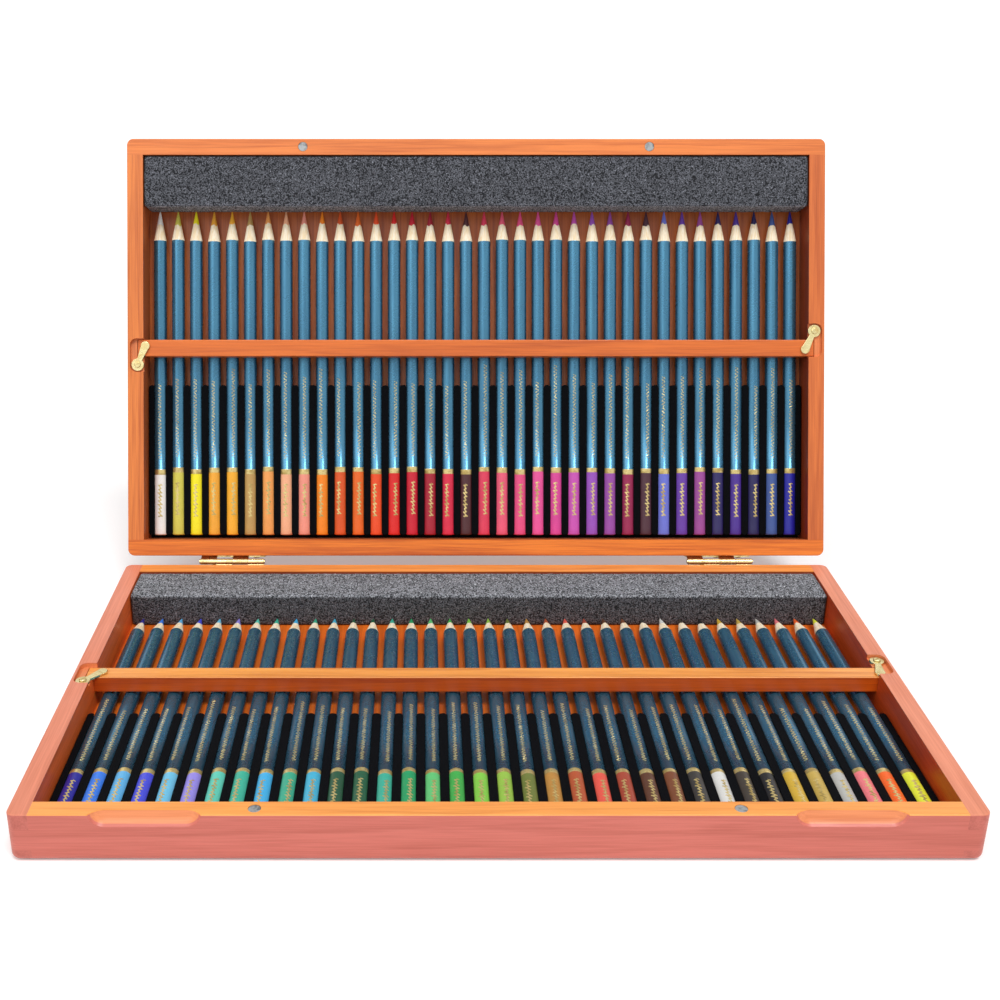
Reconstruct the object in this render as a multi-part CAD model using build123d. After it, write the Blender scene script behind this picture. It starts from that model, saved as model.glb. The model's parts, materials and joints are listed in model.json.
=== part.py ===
from build123d import *
from math import asin, atan2, degrees, hypot
import os

# A folding wooden pencil case: two equal shallow trays, hinged at the rear, each with a row of
# round pencils under a retaining bar. Millimetres, +X right, +Y to the hinges, +Z up.
# The origin is the centre of the base tray's underside, and the lid stands open on its stop.

# ---- The two trays: their insides follow from the pencils, the foam and the bar ----
wall = 8.6
pencil_end_play = 2.1
panel_thickness = 3.5
panel_lip = 4.0
corner_radius = 3.5
bottom_round = 3.2
mouth_round = 0.6
lower_finger = 5.2
upper_finger = 6.8
closed_gap = 0.4

# ---- Screw holes in the wood ----
pilot_fit = 0.02
pilot_extra = 0.5

# ---- Finger recesses in the base's front wall ----
recess_from_end = 53.0
recess_straight = 31.0
recess_cutter_radius = 7.0
recess_inward = 3.7
recess_down = 5.4

# ---- Magnets ----
magnet_from_end = 94.5
magnet_radius = 2.5
magnet_thickness = 3.0
magnet_sink = 0.1
magnet_fit = 0.05

# ---- Retaining bar ----
bar_seat = 3.3
bar_width = 9.0
bar_height = 7.7
bar_over_pencils = 0.7
bar_round = 0.5
bar_side_play = 0.15
bar_end_play = 0.4

# ---- Turn buttons ----
button_from_inside = 3.4
button_beside_bar = 4.6
hub_radius = 3.4
arm_length = 11.0
arm_tip_radius = 2.4
arm_waist = 2.6
button_thickness = 1.0
button_edge_round = 0.25
button_lift = 0.25
pocket_play = 0.45
pocket_past_bar = 0.5
button_screw_radius = 1.0
button_screw_fit = 0.06
button_screw_length = 8.0
button_screw_head_radius = 1.7
button_screw_head_height = 0.6
button_screw_head_gap = 0.1
button_screw_head_sink = 0.25
screw_slot_width = 0.45
screw_slot_depth = 0.3
# Angle of each arm from the line of its side wall, turned inwards, as the photograph shows it.
base_left_arm_angle = 39.0
base_right_arm_angle = 10.0
lid_left_arm_angle = 22.0
lid_right_arm_angle = 26.0

# ---- Foam strip ----
foam_depth = 27.0
foam_sink = 0.8
foam_end_play = 0.4
foam_wall_play = 0.3

# ---- Pencils ----
pencil_count = 36
pencil_diameter = 6.9
pencil_length = 177.0
pencil_cone_length = 15.3
pencil_point_flat = 0.3
lead_radius = 1.7
lead_fit = 0.02
pencil_tip_gap = 0.4

# ---- Formed pencil tray ----
sheet = 0.5
tray_length = 83.8
rib_hollow = 1.65
side_rib_hollow = 1.535
rib_over_axis = 2.1
rib_edge_round = 0.6
rib_from_edge = 1.5
lip_reach = 0.6
nose_past_floor = 2.0
groove_play = 0.15
tray_side_play = 0.4

# ---- Hinges ----
hinge_from_end = 56.2
hinge_length = 34.0
barrel_radius = 1.6
barrel_stand_off = 1.6
knuckle_count = 4
knuckle_gap = 0.2
pin_radius = 0.8
pin_fit = 0.02
pin_running_fit = 0.06
pin_head_radius = 1.2
pin_head_thickness = 0.5
pin_head_gap = 0.1
leaf_thickness = 0.9
leaf_bend_drop = 4.0
leaf_height = 13.0
leaf_corner_radius = 1.5
leaf_screw_count = 3
leaf_screw_margin = 5.0
hinge_screw_radius = 0.9
hinge_screw_cover = 2.6
hinge_screw_head_radius = 1.7
hinge_screw_head_height = 0.7
hinge_screw_fit = 0.05
open_angle = 111.4
stop_tab_length = 2.0
stop_tab_thickness = 1.0
stop_tab_width = 1.1
stop_tab_gap = 0.15

# ---- Worked out from the sizes above ----
pencil_radius = pencil_diameter / 2
tray_floor = panel_thickness + sheet
pencil_z = tray_floor + pencil_radius
bar_bottom = pencil_z + pencil_radius + bar_over_pencils
bar_top = bar_bottom + bar_height
button_z = bar_top + button_lift
screw_head_z = button_z + button_thickness + button_screw_head_gap
tray_height = screw_head_z + button_screw_head_height + button_screw_head_sink
groove_radius = pencil_radius + groove_play
groove_z = tray_floor + groove_radius
rib_top = groove_z + rib_over_axis
side_rib = side_rib_hollow + 2 * sheet
pencil_pitch = 2 * groove_radius + rib_hollow + 2 * sheet
row_half = (pencil_count - 1) / 2 * pencil_pitch
inner_width = 2 * (row_half + groove_radius + side_rib + tray_side_play)
inner_depth = foam_wall_play + foam_depth + pencil_tip_gap + pencil_length + pencil_end_play
case_width = inner_width + 2 * wall
case_depth = inner_depth + 2 * wall
tray_rear = -inner_depth / 2 + tray_side_play
bar_length = inner_width + 2 * bar_seat
button_x = inner_width / 2 + button_from_inside
button_from_bar = bar_width / 2 + button_beside_bar
arm_reach = arm_length + arm_tip_radius
recess_offset = case_width / 2 - recess_from_end
magnet_offset = case_width / 2 - magnet_from_end
hinge_offset = case_width / 2 - hinge_from_end
hinge_axis_out = barrel_radius + barrel_stand_off
hinge_y = case_depth / 2 + hinge_axis_out
hinge_z = tray_height + closed_gap / 2
hinge_screw_length = wall - hinge_screw_cover
foam_front = inner_depth / 2 - foam_wall_play - foam_depth
pencil_tip_y = foam_front - pencil_tip_gap
leaf_screw_spacing = (hinge_length - 2 * leaf_screw_margin) / (leaf_screw_count - 1)
leaf_screw_drop = (leaf_bend_drop + leaf_height) / 2
knuckle_length = (hinge_length - (knuckle_count - 1) * knuckle_gap) / knuckle_count


def block(x_low, x_high, y_low, y_high, z_low, z_high):
    """A box between two corners."""
    size = Box(x_high - x_low, y_high - y_low, z_high - z_low)
    return Pos((x_low + x_high) / 2, (y_low + y_high) / 2, (z_low + z_high) / 2) * size


def upright(radius, x, y, z_low, z_high):
    """A cylinder along Z between two heights."""
    return Pos(x, y, (z_low + z_high) / 2) * Cylinder(radius, z_high - z_low)


def along_x(radius, y, z, x_low, x_high):
    """A cylinder along X."""
    return Pos((x_low + x_high) / 2, y, z) * Rot(0, 90, 0) * Cylinder(radius, x_high - x_low)


def along_y(radius, x, z, y_low, y_high):
    """A cylinder along Y."""
    return Pos(x, (y_low + y_high) / 2, z) * Rot(90, 0, 0) * Cylinder(radius, y_high - y_low)


def group(shapes):
    """Separate solids kept side by side in one piece of the assembly."""
    return Compound([solid for shape in shapes for solid in shape.solids()])


# ---- Wooden tray ----

def wall_ring():
    """The four walls before they are cut apart at the finger joints."""
    outline = extrude(RectangleRounded(case_width, case_depth, corner_radius), tray_height)
    lower = outline.faces().sort_by(Axis.Z)[0].edges()
    outline = fillet(lower, min(bottom_round, 0.95 * corner_radius))
    upper = outline.faces().sort_by(Axis.Z)[-1].edges()
    outline = fillet(upper, mouth_round)
    cavity = Box(inner_width, inner_depth, 3 * tray_height)
    rebate = Box(inner_width + 2 * panel_lip, inner_depth + 2 * panel_lip, 2 * panel_thickness)
    return outline - cavity - rebate


def side_block(side, sides_show_at_mouth):
    """The space that a side wall fills, with its fingers in three layers at each end."""
    upper = tray_height - upper_finger
    layers = [(0, lower_finger, True), (lower_finger, upper, False), (upper, tray_height, True)]
    inner, outer = inner_width / 2, case_width / 2 + 1
    x_low, x_high = (inner, outer) if side > 0 else (-outer, -inner)
    pieces = []
    for low, high, outer_layer in layers:
        runs_through = outer_layer == sides_show_at_mouth
        reach = case_depth / 2 + 1 if runs_through else inner_depth / 2
        pieces.append(block(x_low, x_high, -reach, reach, low, high))
    return pieces[0] + pieces[1] + pieces[2]


def tray_walls(sides_show_at_mouth):
    """Left, right, front (-Y) and rear (+Y) walls that meet in finger joints."""
    ring = wall_ring()
    left_space = side_block(-1, sides_show_at_mouth)
    right_space = side_block(1, sides_show_at_mouth)
    ends = ring - left_space - right_space
    reach = case_width
    front_space = block(-reach, reach, -case_depth, 0, -1, tray_height + 1)
    rear_space = block(-reach, reach, 0, case_depth, -1, tray_height + 1)
    return ring & left_space, ring & right_space, ends & front_space, ends & rear_space


def floor_panel():
    """The panel that closes a tray, let into the rebate under its walls."""
    width, depth = inner_width + 2 * panel_lip, inner_depth + 2 * panel_lip
    return block(-width / 2, width / 2, -depth / 2, depth / 2, 0, panel_thickness)


def button_pocket():
    """The shallow pocket round the left turn button and the bar's end, open to the inside."""
    radius = hub_radius + pocket_play
    low = -button_from_bar - radius
    high = max(bar_width / 2 + pocket_past_bar, arm_reach - button_from_bar + pocket_play)
    pocket = block(-button_x - radius, 1 - inner_width / 2, low, high, bar_top, tray_height + 1)
    corners = pocket.edges().filter_by(Axis.Z).sort_by(Axis.X)[:2]
    return fillet(corners, 0.9 * radius)


def left_wall_cuts():
    """Pocket, bar notch and screw hole of the left wall. The right wall's are these, turned round."""
    half = bar_width / 2 + bar_side_play
    end = -bar_length / 2 - bar_end_play
    notch = block(end, 0, -half, half, bar_bottom, tray_height + 1)
    pilot = upright(button_screw_radius + pilot_fit, -button_x, -button_from_bar,
                    bar_top - button_screw_length - pilot_extra, bar_top + 1)
    return button_pocket() + notch + pilot


def finger_recess():
    """A round-nosed scoop along the front wall's upper outer edge, centred on X = 0."""
    chord = hypot(recess_inward, recess_down)
    rise = (recess_cutter_radius ** 2 - chord ** 2 / 4) ** 0.5
    y = -case_depth / 2 + recess_inward / 2 - rise * recess_down / chord
    z = tray_height - recess_down / 2 + rise * recess_inward / chord
    half = recess_straight / 2
    cutter = along_x(recess_cutter_radius, y, z, -half, half)
    for x in (-half, half):
        cutter += Pos(x, y, z) * Sphere(recess_cutter_radius)
    return cutter


def magnet_holes(side):
    """Blind holes in the mating face of the wall on the side of Y given."""
    y = side * (case_depth - wall) / 2
    depth = magnet_thickness + magnet_sink
    holes = [upright(magnet_radius + magnet_fit, x, y, tray_height - depth, tray_height + 1)
             for x in (-magnet_offset, magnet_offset)]
    return holes[0] + holes[1]


def magnets(side):
    """Two disc magnets with a small round on their faces."""
    y = side * (case_depth - wall) / 2
    top = tray_height - magnet_sink
    disc = fillet(upright(magnet_radius, 0, y, top - magnet_thickness, top).edges(), 0.3)
    return group([Pos(x, 0, 0) * disc for x in (-magnet_offset, magnet_offset)])


# ---- Bar, foam and formed tray ----

def retaining_bar():
    """The wooden bar across the pencils, its ends in the side walls' notches."""
    bar = block(-bar_length / 2, bar_length / 2, -bar_width / 2, bar_width / 2, bar_bottom, bar_top)
    return fillet(bar.edges().filter_by(Axis.X), bar_round)


def foam_strip():
    """The foam along one wall that the pencil points stop against."""
    half = inner_width / 2 - foam_end_play
    high = inner_depth / 2 - foam_wall_play
    return block(-half, half, foam_front, high, panel_thickness, tray_height - foam_sink)


def rib_shape(x_low, x_high, pencils, inset):
    """A rib with round ends, hollowed along the pencils at the given X."""
    rear = tray_rear + rib_from_edge + inset
    nose = tray_rear + tray_length - inset
    plan = SlotOverall(nose - rear, x_high - x_low - 2 * inset, rotation=90)
    rib = extrude(Pos((x_low + x_high) / 2, (rear + nose) / 2, panel_thickness) * plan,
                  rib_top - inset - panel_thickness)
    if inset < rib_edge_round:
        rib = fillet(rib.faces().sort_by(Axis.Z)[-1].edges(), rib_edge_round - inset)
    for x in pencils:
        rib -= along_y(groove_radius + inset, x, groove_z, rear - 1, nose + 1)
    return rib


def tray_ribs(inset):
    """The ribs between and beside the pencils, each made smaller all round by the inset."""
    middle = pencil_pitch / 2
    lip = pencil_radius - lip_reach
    between = rib_shape(lip - middle, middle - lip, (-middle, middle), inset)
    beside = rib_shape(-groove_radius - side_rib, -lip, (0,), inset)
    ribs = [Pos(pencil_x(k) + middle, 0, 0) * between for k in range(pencil_count - 1)]
    return ribs + [Pos(-row_half, 0, 0) * beside, Pos(row_half, 0, 0) * mirror(beside, Plane.YZ)]


def pencil_tray():
    """The formed sheet: a floor and hollow ribs whose lips reach a little over the pencils."""
    half = inner_width / 2 - tray_side_play
    floor_end = tray_rear + tray_length - nose_past_floor
    floor = block(-half, half, tray_rear, floor_end, panel_thickness, tray_floor)
    return floor + tray_ribs(0) - tray_ribs(sheet)


# ---- Pencils ----

def pencil_x(k):
    """Where pencil k of the row lies."""
    return k * pencil_pitch - row_half


def sharpened_rod(radius):
    """A rod along Y with the pencil's length, coned to its point."""
    slope = (pencil_radius - pencil_point_flat) / pencil_cone_length
    bare = (radius - pencil_point_flat) / slope
    rod = along_y(radius, 0, 0, pencil_tip_y - pencil_length, pencil_tip_y - bare)
    point = Cone(radius, pencil_point_flat, bare)
    return rod + Pos(0, pencil_tip_y - bare / 2, 0) * Rot(-90, 0, 0) * point


def pencil_barrel():
    """A round sharpened barrel with the hole of its lead."""
    bore = along_y(lead_radius + lead_fit, 0, 0, pencil_tip_y - pencil_length - 1, pencil_tip_y + 1)
    return sharpened_rod(pencil_radius) - bore


def pencil_row(pencil):
    """Copies of one piece of a pencil, side by side."""
    return group([Pos(pencil_x(k), 0, pencil_z) * pencil for k in range(pencil_count)])


# ---- Turn buttons ----

def turn_button(arm_angle):
    """The left button of a tray: a round hub and a waisted arm that lies over the bar's end."""
    near, far = hub_radius * 0.7, arm_length - arm_tip_radius * 0.4
    neck = Polygon((-arm_waist / 2, near), (arm_waist / 2, near), (arm_tip_radius * 0.9, far),
                   (-arm_tip_radius * 0.9, far), align=None)
    outline = Circle(hub_radius) + neck + Pos(0, arm_length) * Circle(arm_tip_radius)
    plate = extrude(outline, button_thickness)
    upper = plate.faces().sort_by(Axis.Z)[-1].edges()
    plate = fillet(upper, button_edge_round)
    plate -= upright(button_screw_radius + button_screw_fit, 0, 0, -1, button_thickness + 1)
    return Pos(-button_x, -button_from_bar, button_z) * Rot(0, 0, -arm_angle) * plate


def button_screw():
    """The left button's screw: shank in the wall, domed slotted head over the hub."""
    top = screw_head_z + button_screw_head_height
    shank = upright(button_screw_radius, 0, 0, bar_top - button_screw_length, screw_head_z + 0.1)
    head = upright(button_screw_head_radius, 0, 0, screw_head_z, top)
    head = fillet(head.edges().sort_by(Axis.Z)[-1:], 0.7 * button_screw_head_height)
    slot = Pos(0, 0, top) * Rot(0, 0, 35) * Box(
        3 * button_screw_head_radius, screw_slot_width, 2 * screw_slot_depth)
    return Pos(-button_x, -button_from_bar, 0) * (shank + head - slot)


# ---- Hinges: each is built about its pin, with the wall's face at Y = -hinge_axis_out ----

def knuckle_span(k):
    """Low and high X of knuckle k, counted from the left."""
    low = -hinge_length / 2 + k * (knuckle_length + knuckle_gap)
    return low, low + knuckle_length


def at_leaf_screws(shape):
    """Copies of a shape at each of a leaf's screws."""
    first = -(leaf_screw_count - 1) / 2 * leaf_screw_spacing
    return [Pos(first + k * leaf_screw_spacing, 0, -leaf_screw_drop) * shape
            for k in range(leaf_screw_count)]


def leaf_plate():
    """The flat part of a leaf on the wall's face, with its screw holes."""
    half, face = hinge_length / 2, -hinge_axis_out
    plate = block(-half, half, face, face + leaf_thickness, -leaf_height, -leaf_bend_drop)
    corners = plate.edges().filter_by(Axis.Y).sort_by(Axis.Z)[:2]
    plate = fillet(corners, leaf_corner_radius)
    hole = along_y(hinge_screw_radius + hinge_screw_fit, 0, 0, face - 1, face + leaf_thickness + 1)
    return plate - at_leaf_screws(hole)


def hinge_leaf(bore_radius, first_knuckle):
    """A leaf that hangs from its pin: plate, and a cranked web and a knuckle at every second place."""
    centre = -hinge_axis_out + leaf_thickness / 2
    length = hypot(centre, leaf_bend_drop)
    turn = degrees(atan2(-centre, leaf_bend_drop))
    leaf = leaf_plate()
    for k in range(first_knuckle, knuckle_count, 2):
        low, high = knuckle_span(k)
        web = block(low, high, -leaf_thickness / 2, leaf_thickness / 2, -length - leaf_thickness / 3, 0)
        leaf += Rot(-turn, 0, 0) * web
        leaf += along_x(barrel_radius, 0, 0, low, high)
    half = hinge_length / 2 + 1
    in_wall = block(-half, half, -2 * hinge_axis_out, -hinge_axis_out, -2 * leaf_height, 0)
    return leaf - in_wall - along_x(bore_radius, 0, 0, -half, half)


def stop_tab():
    """A tab on the lid's first knuckle that meets the web of the base's first at the open stop."""
    inner = barrel_radius + stop_tab_gap
    outer = inner + stop_tab_thickness
    half = stop_tab_width / 2
    web_angle = degrees(atan2(-leaf_bend_drop, leaf_thickness / 2 - hinge_axis_out))
    between = degrees(atan2(half, inner) + asin((leaf_thickness / 2 + stop_tab_gap) / hypot(inner, half)))
    high = knuckle_span(0)[1]
    over = block(high - stop_tab_length, high + knuckle_gap + stop_tab_length, inner, outer, -half, half)
    root = block(high - stop_tab_length, high, 0.8 * barrel_radius, outer, -half, half)
    return Rot(web_angle + between, 0, 0) * (over + root)


def hinge_screw():
    """A wood screw through a leaf, at the leaf's first hole."""
    face = -hinge_axis_out
    outer = face + leaf_thickness
    shank = along_y(hinge_screw_radius, 0, 0, face - hinge_screw_length, outer + 0.1)
    head = along_y(hinge_screw_head_radius, 0, 0, outer, outer + hinge_screw_head_height)
    head = fillet(head.edges().sort_by(Axis.Y)[-1:], 0.7 * hinge_screw_head_height)
    slot = Pos(0, outer + hinge_screw_head_height, 0) * Rot(0, 25, 0) * Box(
        3 * hinge_screw_head_radius, 2 * screw_slot_depth, screw_slot_width)
    return shank + head - slot


def hinge_pin():
    """A pin with a flat head at each end."""
    half = hinge_length / 2 + pin_head_gap
    pin = along_x(pin_radius, 0, 0, -half - 0.1, half + 0.1)
    for side in (-1, 1):
        ends = sorted((side * half, side * (half + pin_head_thickness)))
        pin += along_x(pin_head_radius, 0, 0, ends[0], ends[1])
    return pin


def wall_screw_holes():
    """Pilot holes of one leaf's screws in the wall behind it."""
    face = -hinge_axis_out
    hole = along_y(hinge_screw_radius + pilot_fit, 0, 0,
                   face - hinge_screw_length - pilot_extra, face + 1)
    return group(at_leaf_screws(hole))


# ---- Places ----

lid_closed = Pos(0, 0, 2 * hinge_z) * Rot(180, 0, 0)
lid_swing = Pos(0, hinge_y, hinge_z) * Rot(-open_angle, 0, 0) * Pos(0, -hinge_y, -hinge_z)
lid_place = lid_swing * lid_closed
turned_round = Rot(0, 0, 180)
hinge_places = [Pos(x, hinge_y, hinge_z) for x in (-hinge_offset, hinge_offset)]


def tray_fittings(left_angle, right_angle):
    """What both trays hold alike, in the tray's own frame."""
    screw = button_screw()
    return {
        "foam_strip": foam_strip(),
        "pencil_tray": pencil_tray(),
        "retaining_bar": retaining_bar(),
        "button_screws": group([screw, turned_round * screw]),
        "left_button": turn_button(left_angle),
        "right_button": turned_round * turn_button(right_angle),
        "pencil_barrels": pencil_row(pencil_barrel()),
        "pencil_leads": pencil_row(sharpened_rod(lead_radius)),
    }


def base_tray():
    """All pieces of the base tray."""
    left, right, front, rear = tray_walls(True)
    cuts = left_wall_cuts()
    for x in (-recess_offset, recess_offset):
        front -= Pos(x, 0, 0) * finger_recess()
    for place in hinge_places:
        rear -= place * wall_screw_holes()
    leaf = hinge_leaf(pin_radius + pin_fit, 1)
    screws = at_leaf_screws(hinge_screw())
    pieces = {
        "front_wall": front - magnet_holes(-1),
        "rear_wall": rear,
        "left_wall": left - cuts,
        "right_wall": right - turned_round * cuts,
        "floor_panel": floor_panel(),
        "magnets": magnets(-1),
        "hinge_leaves": group([place * leaf for place in hinge_places]),
        "hinge_screws": group([place * screw for place in hinge_places for screw in screws]),
    }
    pieces.update(tray_fittings(base_left_arm_angle, base_right_arm_angle))
    return pieces


def lid_tray():
    """All pieces of the lid tray, open on the hinge stop."""
    left, right, hinge_wall, front = tray_walls(False)
    cuts = left_wall_cuts()
    upturned = Rot(0, 180, 0)
    for place in hinge_places:
        hinge_wall -= lid_closed.inverse() * place * upturned * wall_screw_holes()
    in_tray = {
        "front_wall": front - magnet_holes(1),
        "rear_wall": hinge_wall,
        "left_wall": left - cuts,
        "right_wall": right - turned_round * cuts,
        "panel": floor_panel(),
        "magnets": magnets(1),
    }
    in_tray.update(tray_fittings(lid_left_arm_angle, lid_right_arm_angle))
    pieces = {name: lid_place * shape for name, shape in in_tray.items()}
    swung = Rot(-open_angle, 0, 0) * upturned
    leaf = swung * hinge_leaf(pin_radius + pin_running_fit, (knuckle_count - 1) % 2) + stop_tab()
    screws = [swung * screw for screw in at_leaf_screws(hinge_screw())]
    pieces["hinge_leaves"] = group([place * leaf for place in hinge_places])
    pieces["hinge_screws"] = group([place * screw for place in hinge_places for screw in screws])
    return pieces


def assembly():
    """Every piece of the case by name."""
    pieces = {"base_" + name: shape for name, shape in base_tray().items()}
    pieces.update({"lid_" + name: shape for name, shape in lid_tray().items()})
    pieces["hinge_pins"] = group([place * hinge_pin() for place in hinge_places])
    return pieces


os.makedirs("parts", exist_ok=True)
for name, shape in assembly().items():
    export_step(shape, f"parts/{name}.step")
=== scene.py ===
"""Looks of a folding wooden pencil case: two shallow trays hinged at the rear, each with a row of pencils.

Shapes are worked out in millimetres in a tray's own frame, and placed in metres in the case's frame.
"""

import json
import logging
import math
from dataclasses import dataclass
from enum import Enum, IntEnum

import bpy
import numpy as np
from mathutils import Matrix, Vector


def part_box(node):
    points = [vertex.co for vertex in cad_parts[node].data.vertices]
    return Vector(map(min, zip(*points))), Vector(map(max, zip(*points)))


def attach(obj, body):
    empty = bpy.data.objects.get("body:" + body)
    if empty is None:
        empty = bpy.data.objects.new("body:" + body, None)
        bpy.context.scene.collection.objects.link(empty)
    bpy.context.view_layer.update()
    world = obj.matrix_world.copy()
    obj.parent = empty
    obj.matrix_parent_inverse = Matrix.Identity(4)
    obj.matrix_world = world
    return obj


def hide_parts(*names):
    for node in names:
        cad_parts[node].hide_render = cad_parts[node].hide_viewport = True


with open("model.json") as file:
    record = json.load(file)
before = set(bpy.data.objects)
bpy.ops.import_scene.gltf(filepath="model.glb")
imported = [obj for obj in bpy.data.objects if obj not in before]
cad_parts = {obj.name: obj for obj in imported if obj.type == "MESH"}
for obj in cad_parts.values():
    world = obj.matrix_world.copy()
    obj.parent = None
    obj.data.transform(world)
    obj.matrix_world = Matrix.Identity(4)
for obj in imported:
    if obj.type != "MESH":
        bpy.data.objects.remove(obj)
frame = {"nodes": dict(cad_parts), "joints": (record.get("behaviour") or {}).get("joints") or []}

LOG = logging.getLogger("pencil_case")
MM = 0.001
SHADE = "pencil_shade"
Socket = bpy.types.NodeSocket


class Side(Enum):
    """The two trays of the case."""

    BASE = "base"
    LID = "lid"


class Grain(Enum):
    """Which way the fibres of a wooden piece run in its tray's own frame."""

    ALONG_X = "x"
    ALONG_Y = "y"


# ---------------------------------------------------------------- frames and meshes


@dataclass(frozen=True)
class TrayFrame:
    """A tray's own frame: X along the hinges, +Y to the pencils' points, +Z out of its mouth.

    The base's frame is the case's. The lid's is the same, turned over onto the base and swung open.
    """

    side: Side
    hinge: Vector
    open_angle: float

    def matrix(self) -> Matrix:
        """The turn and shift from this tray's frame to the case's, in metres."""
        if self.side is Side.BASE:
            return Matrix.Identity(4)
        closed = Matrix.Translation((0, 0, 2 * self.hinge.z)) @ Matrix.Rotation(math.pi, 4, "X")
        swing = Matrix.Rotation(-self.open_angle, 4, "X")
        return Matrix.Translation(self.hinge) @ swing @ Matrix.Translation(-self.hinge) @ closed

    def place(self, points_mm: np.ndarray) -> np.ndarray:
        """Points of this frame, shape (n, 3) in millimetres, as places in the case in metres."""
        matrix = np.array(self.matrix())
        return points_mm * MM @ matrix[:3, :3].T + matrix[:3, 3]


@dataclass(frozen=True)
class CaseSizes:
    """Sizes in millimetres in a tray's own frame, read from the base tray of the frame."""

    inner_x: float
    inner_y: float
    outer_x: float
    outer_y: float
    height: float
    foam_low: np.ndarray
    foam_high: np.ndarray
    bar_top: float
    tip_y: float
    tail_y: float
    pencil_z: float
    pencil_radius: float
    lead_radius: float
    row_low: float
    row_high: float

    @staticmethod
    def from_frame() -> "CaseSizes":
        """Reads the boxes of the base tray's pieces."""
        def corners(node: str) -> tuple[np.ndarray, np.ndarray]:
            low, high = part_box(node)
            return np.array(low) / MM, np.array(high) / MM

        left_low, left_high = corners("base_left_wall")
        foam_low, foam_high = corners("base_foam_strip")
        lead_low, lead_high = corners("base_pencil_leads")
        row_low, row_high = corners("base_pencil_barrels")
        return CaseSizes(
            inner_x=-left_high[0], inner_y=-corners("base_front_wall")[1][1],
            outer_x=-left_low[0], outer_y=-left_low[1], height=left_high[2],
            foam_low=foam_low, foam_high=foam_high,
            bar_top=corners("base_retaining_bar")[1][2], tip_y=lead_high[1], tail_y=lead_low[1],
            pencil_z=(row_low[2] + row_high[2]) / 2, pencil_radius=(row_high[2] - row_low[2]) / 2,
            lead_radius=(lead_high[2] - lead_low[2]) / 2, row_low=row_low[0], row_high=row_high[0])


def new_piece(name: str, points: np.ndarray, faces: list, materials: list, slots: np.ndarray,
              smooth: bool | np.ndarray = True) -> bpy.types.Object:
    """Makes an object at the origin from placed points.

    Args:
        name: The piece's name.
        points: Places in metres, shape (n, 3).
        faces: Vertex indices of each face, turned outwards.
        materials: The materials of the piece's slots.
        slots: The material slot of each face.
        smooth: Whether the faces are shaded smooth, for all or for each.

    Returns:
        The object, linked to the scene.
    """
    mesh = bpy.data.meshes.new(name)
    mesh.from_pydata(points.tolist(), [], faces)
    for material in materials:
        mesh.materials.append(material)
    mesh.polygons.foreach_set("material_index", np.asarray(slots, dtype=np.int32))
    mesh.polygons.foreach_set("use_smooth", np.full(len(faces), smooth))
    mesh.update()
    piece = bpy.data.objects.new(name, mesh)
    bpy.context.scene.collection.objects.link(piece)
    return piece


def ring_faces(rows: int, columns: int) -> np.ndarray:
    """Quads between neighbouring rings of a closed tube: (r, c), (r, c+1), (r+1, c+1), (r+1, c)."""
    row, column = np.meshgrid(np.arange(rows - 1), np.arange(columns), indexing="ij")
    after = (column + 1) % columns
    corners = (row * columns + column, row * columns + after, (row + 1) * columns + after,
               (row + 1) * columns + column)
    return np.stack(corners, axis=-1).reshape(-1, 4)


def pole_faces(ring_start: int, columns: int, pole: int, outward_last: bool) -> np.ndarray:
    """Triangles from a ring to a pole, in the ring's order at its last end and reversed at its first."""
    column = np.arange(columns)
    after = (column + 1) % columns
    first, second = (column, after) if outward_last else (after, column)
    return np.stack((ring_start + first, ring_start + second, np.full(columns, pole)), axis=-1)


# ---------------------------------------------------------------- node trees


def colour(code: str) -> tuple[float, float, float, float]:
    """The linear colour of an sRGB code: ((c + 0.055) / 1.055) ** 2.4 above 0.04045, else c / 12.92."""
    parts = [int(code[i:i + 2], 16) / 255 for i in (1, 3, 5)]
    linear = [((c + 0.055) / 1.055) ** 2.4 if c > 0.04045 else c / 12.92 for c in parts]
    return (*linear, 1.0)


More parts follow.
